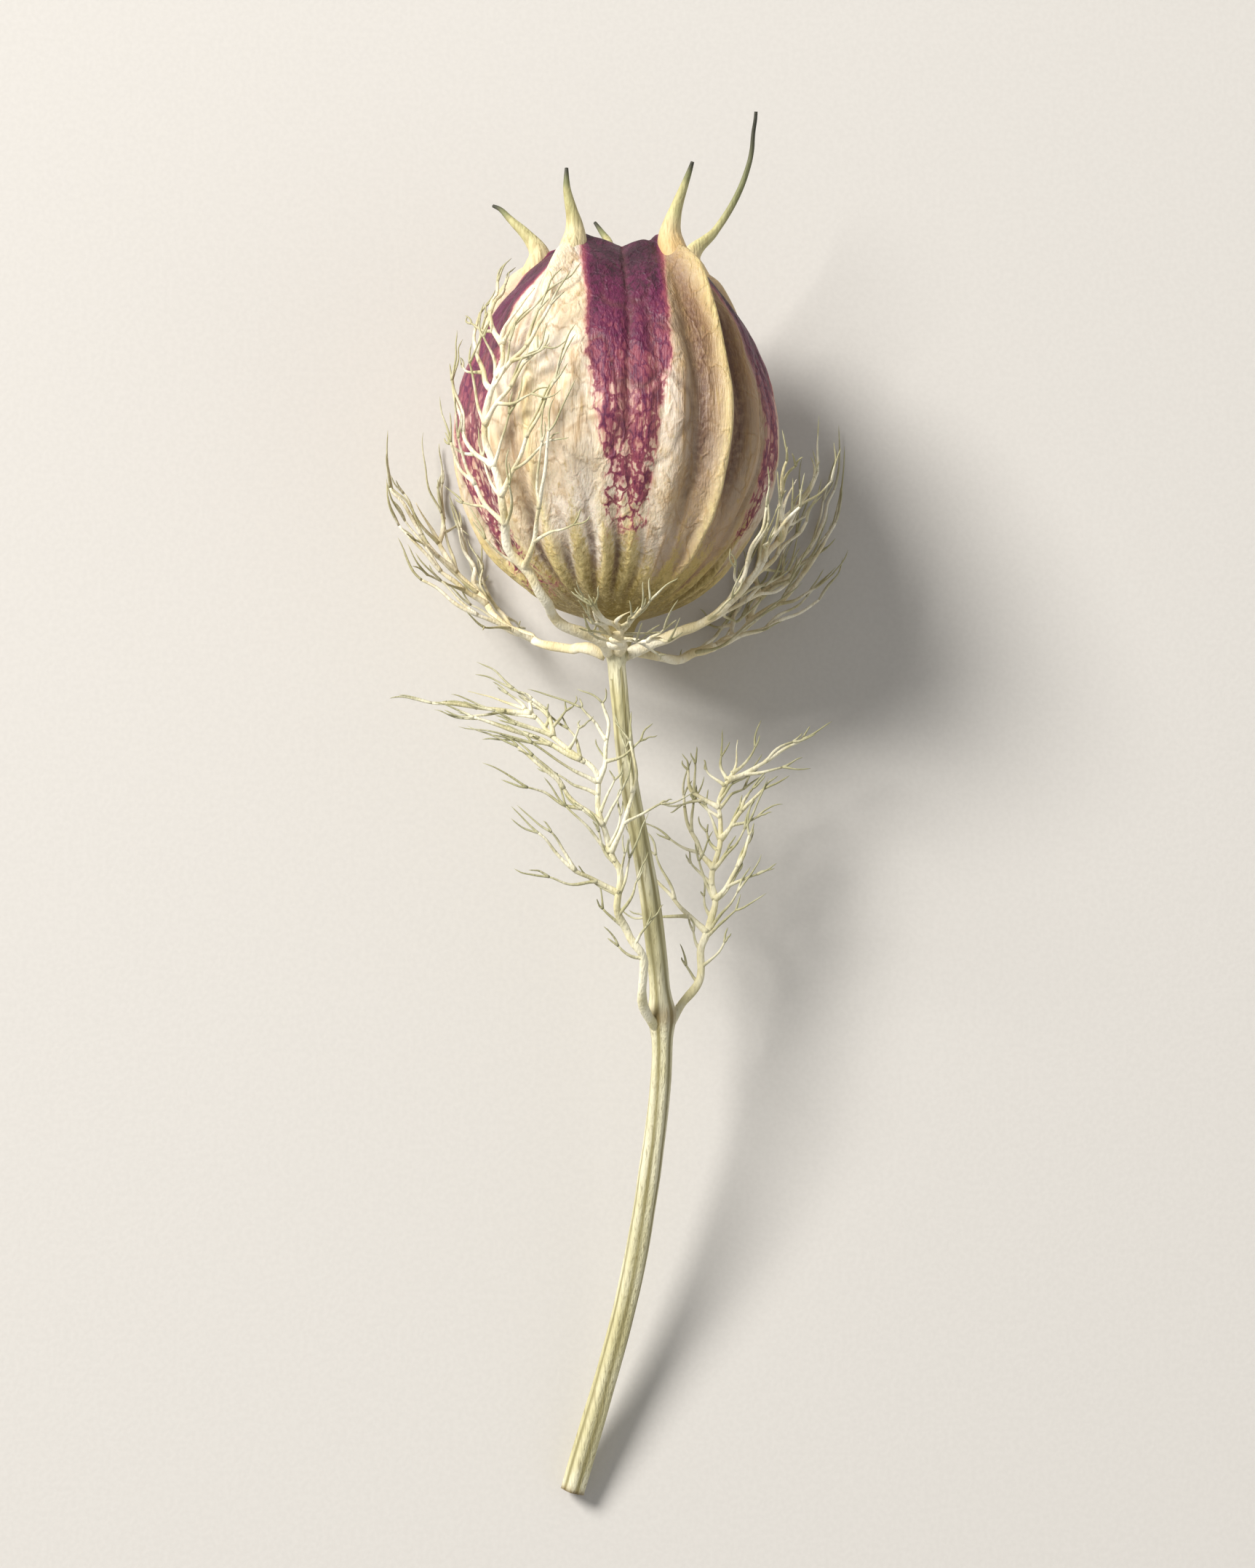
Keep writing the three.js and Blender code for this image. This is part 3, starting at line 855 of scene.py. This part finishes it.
def side_ribs(at, tan):
    """Fine ribs on the flanks, strongest on the tan carpels: their wave, and how strong it is."""
    wave = np.sin(np.radians(at.offset * SIDE_RIB_TURNS) + 1.6 * rough(at.plain + 25, (7, 12, 7)))
    strength = smoothstep(2, 8, at.along) * (1 - smoothstep(19, 25, at.along)) * smoothstep(4, 9, at.off)
    strength *= (1 - smoothstep(26, 32, at.off)) * (0.35 + 0.65 * tan)
    return wave, strength


def crumple(at):
    """The uneven swell of dry skin, its long flutes, its wrinkles and its finest lines."""
    flutes = FLUTE_RISE * rough(at.plain + 90, (1.7, 13.0, 1.7))
    wisps = WISP_RISE * rough(at.plain + 40, (0.7, 6.0, 0.7))
    return (SWELL_RISE * at.warp + WRINKLE_RISE * rough(at.plain, 1.4) + wisps + flutes) * at.body


def crown_relief(at):
    """A star with five rays sunk into the crown, and low ridges between its rays."""
    star = bell(HALF_SECTOR - at.off, STAR_WIDTH) * smoothstep(0, 1.2, at.radius)
    star *= 1 - smoothstep(3.4, 4.4, at.radius)
    ridges = bell(at.off, SHOULDER_RISE_WIDTH) * smoothstep(0.6, 2.4, at.radius)
    return (STAR_RIDGE_RISE * ridges - STAR_DEPTH * star) * at.in_crown


def stripes(at):
    """How purple the skin is, and how torn that purple is. A stripe deepens in three steps."""
    stripe, torn = np.zeros((2, len(at.along)))
    widths = np.interp(at.along, *np.transpose(STRIPE_HALF_WIDTH))
    for centre, strength, foot, broad in STRIPES:
        arc = np.radians(turned(at.azimuth, centre)) * at.radius
        arc += 0.35 * rough(at.plain + centre, (2.0, 6.0, 2.0))
        reach = widths * (1 + (broad - 1) * (1 - smoothstep(16, 22, at.along)))
        across = 1 - smoothstep(0.75 * reach, 1.12 * reach, np.abs(arc))
        down = 0.46 * smoothstep(foot - 2, foot + 5, at.along) + 0.3 * smoothstep(foot + 6, 20, at.along)
        down += 0.3 * smoothstep(18, 26, at.along)
        lower_end = smoothstep(foot - 2, foot + 1, at.along) * (1.05 - down)
        stripe = np.maximum(stripe, strength * across * down)
        torn = np.maximum(torn, smoothstep(0, 0.5, across) * lower_end)
    return stripe, 0.12 * stripe + torn


def capsule_piece(material):
    """The papery capsule: its plain shape, the relief on it, and where each colour of its skin lies."""
    at = capsule_points()
    outside = 1 - at.in_crown
    around = on_axis(at.azimuth, CAPSULE_RING, WIDEST_AT)
    height, left, right, tan = carpel_traits(at)
    rise, rib, shade = midribs(at, height, left, right)
    suture = bell(HALF_SECTOR - at.off, SUTURE_WIDTH) * at.body
    shoulder = bell(HALF_SECTOR - at.off, SUTURE_SHOULDER_WIDTH) * at.top
    vein = veins(at)
    pleat, pleated = pleats(at, around)
    side_rib, ribbed = side_ribs(at, tan)
    crease = bell(rough(at.plain + 20, (1.6, 5.0, 1.6)), 0.07)
    crease *= at.body * (1 - bell(at.off, 5)) * (1 - at.top)

    rise -= SUTURE_DEPTH * suture + SUTURE_SHOULDER_DEPTH * shoulder
    rise += (VEIN_RISE * vein + PLEAT_RISE * pleat * pleated) * outside
    rise += SIDE_RIB_RISE * side_rib * ribbed - CREASE_DEPTH * crease
    rise += crumple(at) + crown_relief(at)
    groove = GROOVE_DEPTH * (at.off / HALF_SECTOR) ** GROOVE_POWER * outside
    radius = at.radius * (1 - groove) + at.out_radius * rise
    along = at.along + at.out_along * rise + RIM_WAVE * np.cos(np.radians(at.offset * CARPELS)) * at.top
    points = on_axis(at.azimuth, radius, along)
    points[:, 2] = np.maximum(points[:, 2], 0)

    stripe, torn = stripes(at)
    # Painted shade: darker in the sutures, the pleat furrows, the rib furrows, the creases and the hollows
    # beside the midribs
    fold = np.maximum.reduce([
        0.3 * suture,
        0.9 * pleated * smoothstep(0.3, 0.95, -pleat),
        0.55 * ribbed * smoothstep(0.3, 1, -side_rib),
        0.55 * crease * smoothstep(6, 14, at.along),
        1.8 * shade * (1 - stripe) * smoothstep(3, 12, at.along),
    ])
    # Tan, partly the carpel's own tone and partly painted shade: strongest on the carpels turned away from
    # the key light, and paler on each carpel's side at the larger azimuth
    tan = np.clip(tan + 0.35 * rough(at.plain + 33, (6, 14, 6)), 0, 1) * (1 - 0.8 * bell(at.offset - 27, 10))
    olive_to = OLIVE_TOP + OLIVE_TOP_SPREAD * rough(around, 1.2)
    olive_to += OLIVE_IN_SUTURES * bell(HALF_SECTOR - at.off, 6) + OLIVE_ON_PLEATS * pleat
    skin = Surface("stripe", "torn", "rib", "base", "vein", "fold", "crown", "tan")
    skin.add(
        points, capsule_faces(), stripe=stripe, torn=torn, vein=vein, fold=np.minimum(fold, 1), tan=tan,
        # rib: the midribs' own yellow, plus a painted highlight on the pleat crests at the base
        rib=np.clip(rib * (0.3 + height) + 0.7 * pleated * smoothstep(0.2, 0.95, pleat), 0, 1),
        base=1 - smoothstep(0.5, olive_to, at.along),
        crown=at.in_crown * (1 - smoothstep(3.9, 4.6, at.radius)),
    )
    piece = skin.made("pod_capsule", material)
    clean(piece)
    placed(piece, "capsule")


# Horns

def horn_line(azimuth, beak, style, lean, curl, drift):
    """A horn's course: its root inside the carpel, its beak, and its style, which bends on as it dries."""
    points = [on_axis(azimuth, radius, along) for radius, along in HORN_ROOT]
    radius, along = HORN_ROOT[-1]
    for length, bend, swing in [(beak, 0, 0)] + [(style / 3, curl, drift)] * 3:
        lean += bend
        azimuth += swing
        radius += length * math.sin(math.radians(lean))
        along += length * math.cos(math.radians(lean))
        points.append(on_axis(azimuth, radius, along))
    return evenly(smooth_line(points, per_span=12), HORN_RINGS)


def ridged(share, turns):
    """A horn's section: a blunt triangle with fine ribs, rounder towards its tip."""
    return 1 + (0.1 * np.cos(3 * turns) + 0.05 * np.cos(8 * turns)) * (1 - share)


def horns_piece(material):
    """All the horns. Each ends in its style, and is as tan at its root as its carpel, a tan that is partly
    painted shade.
    """
    horns = Surface("tip", "tan")
    for horn, (*_, tan) in zip(HORNS, MIDRIBS):
        line = horn_line(**horn)
        share = np.linspace(0, 1, len(line))
        whole = HORN_ROOT_LENGTH + horn["beak"] + horn["style"]
        beak_share = (HORN_ROOT_LENGTH + horn["beak"]) / whole
        in_beak = np.minimum(1, share / beak_share)
        in_style = np.clip((share - beak_share) / (1 - beak_share), 0, 1)
        radii = np.interp(in_beak, *np.transpose(HORN_RADII)) * (1 - STYLE_TAPER * in_style)
        line = line + (HORN_SHAKE * rough(line, HORN_SHAKE_SIZE) * smoothstep(0.5, 1, share))[:, None]
        tip = 0.35 * smoothstep(0.5, 1, in_beak) + 0.65 * in_style
        root_tan_and_shade = tan * (1 - smoothstep(0.42, 0.8, in_beak))
        horns.tube(line, radii, HORN_SIDES, section=ridged, tip=tip, tan=root_tan_and_shade)
    placed(horns.made("pod_horns", material), "capsule")


# Fronds

def arc_line(start, heading, turn, length, rise, steps):
    """A thread's course in the plane of its frond, as [along, across, lift] points."""
    along, across, lift = start
    points = [[along, across, lift]]
    for i in range(steps):
        bearing = math.radians(heading + turn * (i + 0.5) / steps)
        along += length / steps * math.cos(bearing)
        across += length / steps * math.sin(bearing)
        points.append([along, across, lift + rise * ((i + 1) / steps) ** 2])
    return points


def frond_threads(length, lobes, reach, rise, sway, seed, barbs=0):
    """The threads of a finely cut frond, each as [points, rank].

    Lobes with forks stand left and right of its midrib by turns, each with a spur opposite. Barbs are
    short threads all along it.
    """
    random = random_from(seed)
    extra = np.random.default_rng(seed)

    def on_midrib(t):
        zigzag = ZIGZAG * (1 - 2 * abs(MIDRIB_STEPS * t % 2 - 1))
        return [length * t, sway * math.sin(math.pi * t) + zigzag, rise * MIDRIB_LIFT * t**2]

    def tips(start, heading, length):
        """Two fine tips at a thread's end, one of them long."""
        for sign, share in zip(extra.permutation([-1, 1]), TIP_SHARES):
            bearing = heading + sign * extra.uniform(*TIP_ANGLE)
            turn = -sign * extra.uniform(*TIP_TURN)
            tip_length = length * share * extra.uniform(*TIP_LENGTH)
            tip = arc_line(start, bearing, turn, tip_length, extra.uniform(*TIP_RISE), TIP_STEPS)
            threads.append([tip, TIP])

    threads = [[[on_midrib(i / MIDRIB_STEPS) for i in range(MIDRIB_STEPS + 1)], MIDRIB]]
    for i in range(lobes):
        side = 1 if i % 2 else -1
        t = FIRST_LOBE + LOBED_SHARE * (i + LOBE_STAGGER * next(random)) / lobes
        vigour = 1 + LOBE_LENGTH_SPREAD * (next(random) - 0.5)
        long = reach * (LOWEST_LOBE - LOBE_SHORTENING * t) * vigour
        heading = side * (LOBE_ANGLE + LOBE_ANGLE_SPREAD * next(random))
        lobe = arc_line(on_midrib(t), heading, -side * LOBE_TURN, long, rise * next(random), LOBE_STEPS)
        threads.append([lobe, LOBE])
        for j in (1, 2):
            fork_side = side if j % 2 else -side
            fork_heading = heading + fork_side * (FORK_ANGLE + FORK_ANGLE_SPREAD * next(random))
            fork_length = long * (FORK_LENGTH + FORK_LENGTH_SPREAD * next(random))
            fork_rise = rise / 2 * next(random)
            fork_turn = -fork_side * FORK_TURN
            fork = arc_line(lobe[j], fork_heading, fork_turn, fork_length, fork_rise, FORK_STEPS)
            threads.append([fork, FORK])
            tips(fork[-1], fork_heading + fork_turn, fork_length)
        tips(lobe[-1], heading - side * LOBE_TURN, 0.5 * long)
        spur_heading = -side * extra.uniform(*SPUR_ANGLE)
        spur_length = reach * extra.uniform(*SPUR_LENGTH)
        spur_rise = rise * extra.uniform(*SPUR_RISE)
        spur = arc_line(on_midrib(t), spur_heading, side * SPUR_TURN, spur_length, spur_rise, SPUR_STEPS)
        threads.append([spur, FORK])
        tips(spur[-1], spur_heading + side * SPUR_TURN, spur_length)
    for i in range(barbs):
        side = 1 if i % 2 else -1
        heading = side * extra.uniform(*BARB_ANGLE)
        start = on_midrib(FIRST_BARB + BARBED_SHARE * i / barbs)
        barb_length = extra.uniform(*BARB_LENGTH)
        barb_rise = rise * extra.uniform(*BARB_RISE)
        barb = arc_line(start, heading, -side * BARB_TURN, barb_length, barb_rise, BARB_STEPS)
        threads.append([barb, FORK])
        tips(barb[-1], heading - side * BARB_TURN, extra.uniform(*BARB_TIP_LENGTH))
    return threads


def roomy(line):
    """Bends the threads in softly where they would leave the part's room."""
    low = np.array(cad_low) / MM + SOFT_EDGE
    high = np.array(cad_high) / MM - SOFT_EDGE
    over = np.maximum(line - high, 0)
    under = np.maximum(low - line, 0)
    kept = np.clip(line, low, high)
    return kept + SOFT_EDGE * (np.tanh(over / SOFT_EDGE) - np.tanh(under / SOFT_EDGE))


def frond_piece(node, threads, stout, put, root, material):
    """One frond as tubes. put(point, radius) places a point of it, root is where it grows from."""
    frond = Surface("thin")
    for points, rank in threads:
        is_midrib = rank == MIDRIB
        first, last = (stout, MIDRIB_END * stout) if is_midrib else THREAD_RADII[rank]
        course = [put(point, stout if is_midrib else THREAD_ROOM) for point in points]
        if is_midrib:
            course = [root] + course
        line = smooth_line(course, per_span=6)
        length = np.linalg.norm(np.diff(line, axis=0), axis=1).sum()
        line = evenly(line, max(FEWEST_RINGS, int(RINGS_PER_MM * length)))
        share = np.linspace(0, 1, len(line))
        loose = smoothstep(0, 0.2, share) if is_midrib else np.ones(len(line))
        shake = np.column_stack([rough(line + 13 * k, THREAD_SHAKE_SIZE) for k in range(3)])
        line = roomy(line + shake * (THREAD_SHAKE * loose)[:, None])
        radii = first + (last - first) * share**THREAD_TAPER_POWER
        radii *= 1 + THREAD_KNOBS * rough(line + 90, THREAD_KNOB_SIZE)
        if rank in (LOBE, FORK):
            radii += THREAD_ROOT_FLARE * first * bell(share, 0.1)
        else:
            radii *= 1 - THREAD_END_TAPER * smoothstep(0.86, 1, share)
        line[:, 2] = np.maximum(line[:, 2], radii)
        sides = MIDRIB_SIDES if is_midrib else THREAD_SIDES
        squash = MIDRIB_SQUASH if is_midrib else 1.0
        frond.tube(line, radii, sides, squash=squash, thin=0.15 + 0.22 * rank + 0.25 * share)
    placed(frond.made("pod_" + node, material), node)


def kept_clear(place, radius):
    """Keeps a thread on the ground and out of the capsule."""
    x, y, z = place
    z = max(z, radius)
    along = y + WIDEST_AT
    if 0 < along < CAPSULE_LENGTH:
        needed = body_radius(along) + MIDRIB_RISE + radius + CLEARANCE
        drop = z - AXIS_HEIGHT
        if math.hypot(x, drop) < needed:
            x = math.copysign(math.sqrt(needed**2 - min(drop**2, needed**2)), x)
    return np.array([x, y, z])


def bract_piece(name, material, azimuth, open, **frond):
    """A bract that bends round the capsule, as if laid on a cage just outside it."""
    limit = math.radians(BRACT_SWING)

    def on_cage(point, radius):
        along, across, lift = point
        polar = math.radians(BRACT_ROOT_ANGLE) + along / CAGE_ARC
        off = open * along + lift
        out = CAGE_RADIUS * math.sin(polar) + off * max(math.sin(polar), 0.5)
        up = WIDEST_AT - (CAGE_DEPTH + off) * math.cos(polar)
        swing = limit * math.tanh(across / (out * limit))
        return kept_clear(on_axis(azimuth + math.degrees(swing), out, up), radius)

    root = on_axis(azimuth, *BRACT_FOOT)
    frond_piece(name, frond_threads(**frond), BRACT_RADIUS, on_cage, root, material)


def leaf_piece(name, material, stem, route, sideways, upwards, **frond):
    """A leaf along its own route, which starts at the stem's node."""
    line = evenly(smooth_line(route, per_span=20), LEAF_POINTS)
    tangents = directions(line)
    side = np.array(sideways) / np.linalg.norm(sideways)
    up = np.array(upwards) / np.linalg.norm(upwards)

    def on_leaf(point, radius):
        along, across, lift = point
        t = min(max(along / frond["length"], 0), 1)
        index = round(t * (len(line) - 1))
        place = line[index] + tangents[index] * (along - t * frond["length"]) + side * across + up * lift
        return np.array([place[0], place[1], max(place[2], radius)])

    root = stem[np.argmin(np.linalg.norm(stem - line[0] + (0, LEAF_FOOT, 0), axis=1))]
    frond_piece(name, frond_threads(**frond), LEAF_RADIUS, on_leaf, root, material)


# Stem

def stem_section(share, turns):
    """The stem's section: five ribs that turn slowly, with a smaller one between each two."""
    turns = turns + STEM_TWIST * share
    large = STEM_RIB_RISE * np.cos(STEM_RIBS * turns)
    small = STEM_SMALL_RIB_RISE * np.cos(2 * STEM_RIBS * turns + 1)
    return 1 + large + small


def flare_section(share, turns):
    """The swollen top's section, which takes the carpels' five lobes near the capsule."""
    return 1 + FLARE_LOBES * np.cos(CARPELS * turns) * share


def stem_piece(material, stem):
    """The ribbed stem with its node, and the swollen top that the capsule sits on."""
    surface = Surface("furrow", "scar", "olive")
    share = np.linspace(0, 1, len(stem))
    radii = STEM_TOP_RADIUS + (STEM_END_RADIUS - STEM_TOP_RADIUS) * share
    radii += NODE_SWELL * bell(share - NODE_AT, NODE_LENGTH) + STEM_KNOBS * rough(stem, STEM_KNOB_SIZE)
    turns = np.arange(STEM_SIDES) * 2 * math.pi / STEM_SIDES + STEM_TWIST * share[:, None]
    furrow = smoothstep(0.1, 0.9, -np.cos(STEM_RIBS * turns))
    scar = 0.8 * bell(share - NODE_AT, NODE_SCAR_LENGTH) + smoothstep(CUT_SCAR_FROM, 1, share)
    surface.tube(stem, radii, STEM_SIDES, section=stem_section, scar=scar, furrow=furrow)

    along = np.linspace(FLARE[0][0], FLARE[-1][0], FLARE_RINGS)
    flare = np.interp(along, *np.transpose(FLARE))
    olive = smoothstep(*FLARE_OLIVE, along)
    surface.tube(on_axis(0, 0, along), flare, STEM_SIDES, section=flare_section, olive=olive)
    placed(surface.made("pod_stem", material), "stem")


# Stage

def floor_piece():
    floor = Surface()
    signs = ((-1, -1), (1, -1), (1, 1), (-1, 1))
    corners = [(x * FLOOR_REACH, y * FLOOR_REACH, FLOOR_HEIGHT) for x, y in signs]
    floor.add(np.array(corners), [[0, 1, 2, 3]])
    floor.made("floor", floor_material())


def area_light(name, target, location, size, energy, colour):
    data = bpy.data.lights.new(name, "AREA")
    data.shape = "DISK"
    data.size = size
    data.energy = energy
    data.color = colour
    light = bpy.data.objects.new(name, data)
    light.location = location
    light.rotation_euler = (target - Vector(location)).to_track_quat("-Z", "Y").to_euler()
    bpy.context.scene.collection.objects.link(light)


def camera(low, high):
    """Looks down on the pod from a little towards its stem and its left, with the horns at the top."""
    data = bpy.data.cameras.new("camera")
    data.lens = LENS
    data.sensor_width = SENSOR
    to_left = math.tan(math.radians(TILT_TO_LEFT))
    to_stem = math.tan(math.radians(TILT_TO_STEM))
    back = Vector((-to_left, -to_stem, 1)).normalized()
    right = Vector((0, 1, 0)).cross(back).normalized()
    up = back.cross(right)
    distance = (high.y - low.y) / 2 / FRAME_FILL / (SENSOR / 2 / LENS)
    place = (low + high) / 2 + back * distance
    made = bpy.data.objects.new("camera", data)
    made.matrix_world = Matrix.Translation(place) @ Matrix((right, up, back)).transposed().to_4x4()
    bpy.context.scene.collection.objects.link(made)
    bpy.context.scene.camera = made


def world():
    """A plain pale sky, and colours that aren't toned down."""
    made = bpy.data.worlds.new("world")
    made.use_nodes = True
    background = made.node_tree.nodes["Background"]
    background.inputs["Color"].default_value = SKY
    background.inputs["Strength"].default_value = SKY_STRENGTH
    bpy.context.scene.world = made
    bpy.context.scene.view_settings.view_transform = "Standard"


def main():
    camera(cad_low, cad_high)
    world()
    middle = (cad_low + cad_high) / 2
    area_light("key", middle, **KEY)
    area_light("fill", middle, **FILL)
    floor_piece()

    stem = evenly(smooth_line(STEM_ROUTE, per_span=40), STEM_RINGS)
    capsule_piece(pod_skin())
    horns_piece(horn_skin())
    stem_piece(stem_skin(), stem)
    bract_skin = thread_skin("bract_skin", **BRACT_COLOURS)
    leaf_skin = thread_skin("leaf_skin", **LEAF_COLOURS)
    for name, bract in BRACTS.items():
        bract_piece(name, bract_skin, **bract)
    for name, leaf in LEAVES.items():
        leaf_piece(name, leaf_skin, stem, **leaf)


main()
